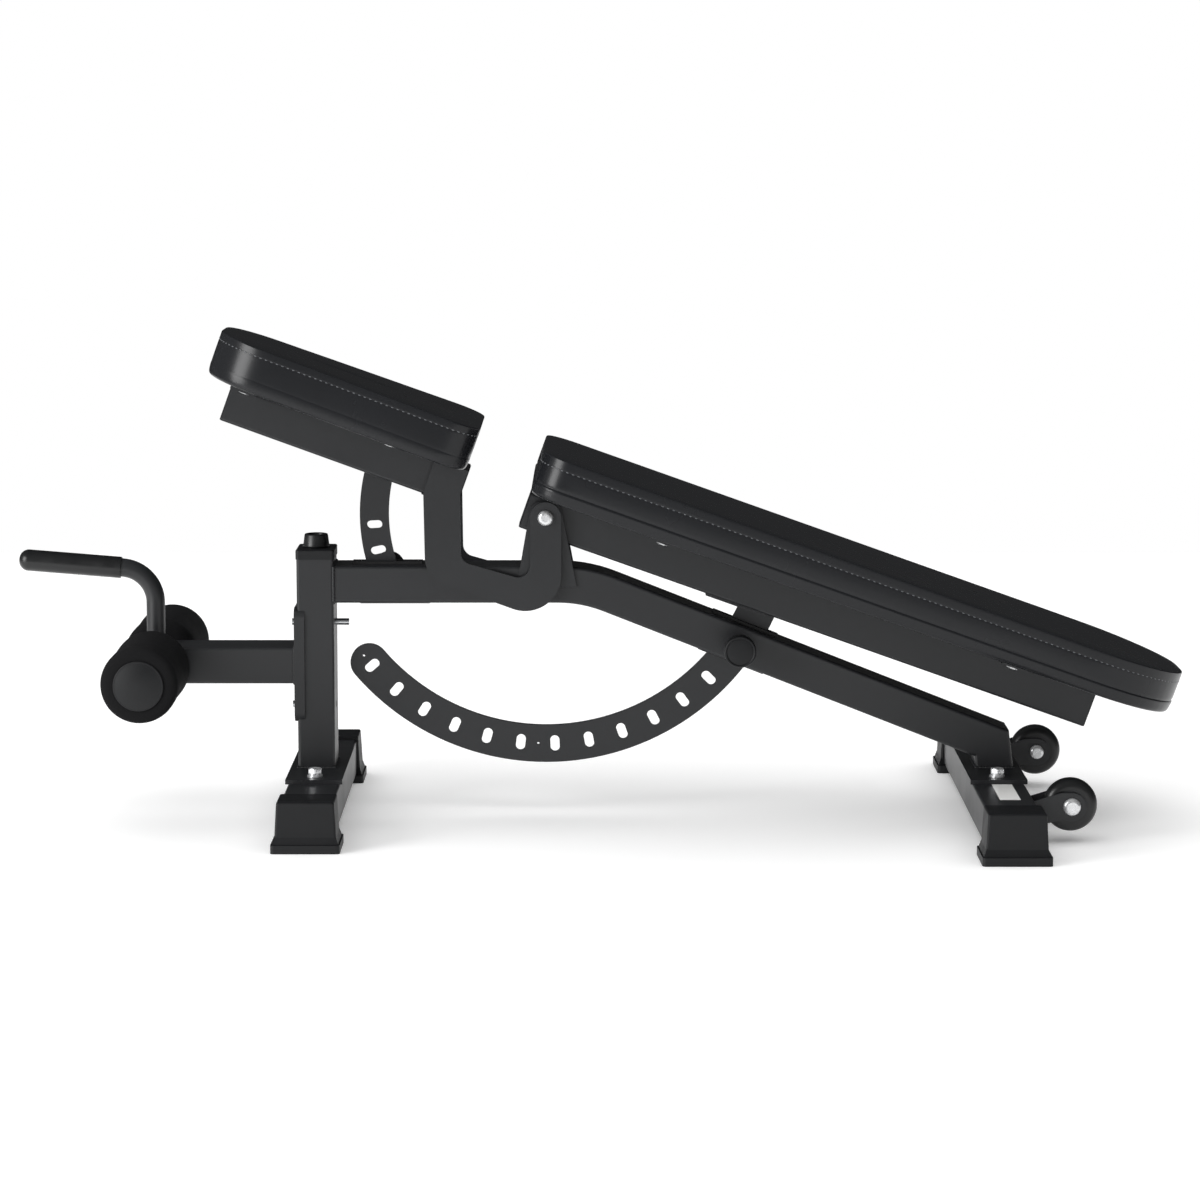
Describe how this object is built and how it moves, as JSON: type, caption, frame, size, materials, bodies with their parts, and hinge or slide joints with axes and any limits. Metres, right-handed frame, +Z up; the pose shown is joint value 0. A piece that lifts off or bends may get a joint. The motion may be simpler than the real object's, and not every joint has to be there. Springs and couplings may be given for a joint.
{
  "type": "decline sit up bench",
  "caption": "Adjustable exercise bench set in decline, with a tilting seat and backrest locked by slotted arc plates, a clip-on foam roller leg holder with a handle, and transport wheels.",
  "frame": {"origin": "on the floor, under the middle of the bench's length and width", "axes": "+X from the leg holder to the head end, +Y to the right of a user seated facing the leg holder, +Z up"},
  "size_m": [1.5701, 0.729, 0.6573],
  "materials": {
    "steel": "satin black powder coat",
    "upholstery": "black vinyl over foam, fine grain",
    "foam": "black closed-cell foam, matt",
    "board": "plywood, stained black",
    "zinc": "bright zinc plating",
    "pin_steel": "bright plated",
    "plastic": "moulded black plastic",
    "rubber": "black rubber",
    "nylon": "black nylon",
    "tyre": "black rubber tread",
    "hub": "dark grey plastic",
    "label": "plain white film, unprinted"
  },
  "bodies": {
    "frame": {"front_foot": "steel", "rear_foot": "steel", "foot_boots": "plastic", "front_base_plate": "steel", "rear_base_plate": "steel", "base_bolts": "zinc", "base_washers": "zinc", "base_weld_nuts": "zinc", "front_post": "steel", "post_cap": "plastic", "seat_bumper": "rubber", "main_beam": "steel", "rear_leg": "steel", "hinge_plates": "steel", "pivot_bolt": "zinc", "pivot_nut": "zinc", "seat_slot_guides": "nylon", "back_slot_guides": "nylon", "pin_housings": "steel", "pin_springs": "pin_steel", "wheel_forks": "steel", "wheel_axles": "zinc", "wheel_nuts": "zinc", "blank_label": "label"},
    "seat": {"seat_tube": "steel", "seat_tube_caps": "plastic", "seat_arms": "steel", "pivot_bushes": "nylon", "seat_ladder": "steel", "seat_cross_bars": "steel", "seat_board": "board", "seat_cushion": "upholstery", "seat_pad_bolts": "zinc"},
    "backrest": {"back_tube": "steel", "back_tube_caps": "plastic", "back_pivot_sleeve": "steel", "back_ladder": "steel", "back_ladder_plate": "steel", "back_cross_bars": "steel", "back_board": "board", "back_cushion": "upholstery", "back_pad_bolts": "zinc"},
    "leg_holder": {"holder_bracket": "steel", "hitch_pins": "pin_steel", "holder_arm": "steel", "roller_tube": "steel", "roller_stops": "steel", "roller_end_caps": "plastic", "handle_tube": "steel", "handle_grip": "rubber"},
    "foam_left": {"foam_roller_left": "foam"},
    "foam_right": {"foam_roller_right": "foam"},
    "back_pull_pin": {"back_pin": "pin_steel", "back_knob": "plastic"},
    "seat_pull_pin": {"seat_pin": "pin_steel", "seat_knob": "plastic"},
    "wheel_left": {"tyre_left": "tyre", "wheel_hub_left": "hub"},
    "wheel_right": {"tyre_right": "tyre", "wheel_hub_right": "hub"}
  },
  "joints": [
    {"name": "seat_tilt", "type": "hinge", "parent": "frame", "child": "seat", "pos_m": [-0.073, 0, 0.4087], "axis": [0, 1, 0], "range_deg": [-20, 0]},
    {"name": "back_tilt", "type": "hinge", "parent": "frame", "child": "backrest", "pos_m": [-0.073, 0, 0.4087], "axis": [0, -1, 0], "range_deg": [0, 104.9]},
    {"name": "leg_holder_pull", "type": "slide", "parent": "frame", "child": "leg_holder", "axis": [-1, 0, 0], "range_m": [0, 0.09]},
    {"name": "foam_left_spin", "type": "hinge", "parent": "leg_holder", "child": "foam_left", "pos_m": [-0.602, -0.128, 0.207], "axis": [0, 1, 0], "continuous": true},
    {"name": "foam_right_spin", "type": "hinge", "parent": "leg_holder", "child": "foam_right", "pos_m": [-0.602, 0.128, 0.207], "axis": [0, 1, 0], "continuous": true},
    {"name": "wheel_left_spin", "type": "hinge", "parent": "frame", "child": "wheel_left", "pos_m": [0.616, -0.203, 0.05], "axis": [0, 1, 0], "continuous": true},
    {"name": "wheel_right_spin", "type": "hinge", "parent": "frame", "child": "wheel_right", "pos_m": [0.616, 0.203, 0.05], "axis": [0, 1, 0], "continuous": true},
    {"name": "back_pin_pull", "type": "slide", "parent": "frame", "child": "back_pull_pin", "axis": [0, -1, 0], "range_m": [0, 0.012], "stiffness_N_per_m": 600, "springref_m": -0.01},
    {"name": "seat_pin_pull", "type": "slide", "parent": "frame", "child": "seat_pull_pin", "axis": [0, 1, 0], "range_m": [0, 0.012], "stiffness_N_per_m": 600, "springref_m": -0.01}
  ]
}
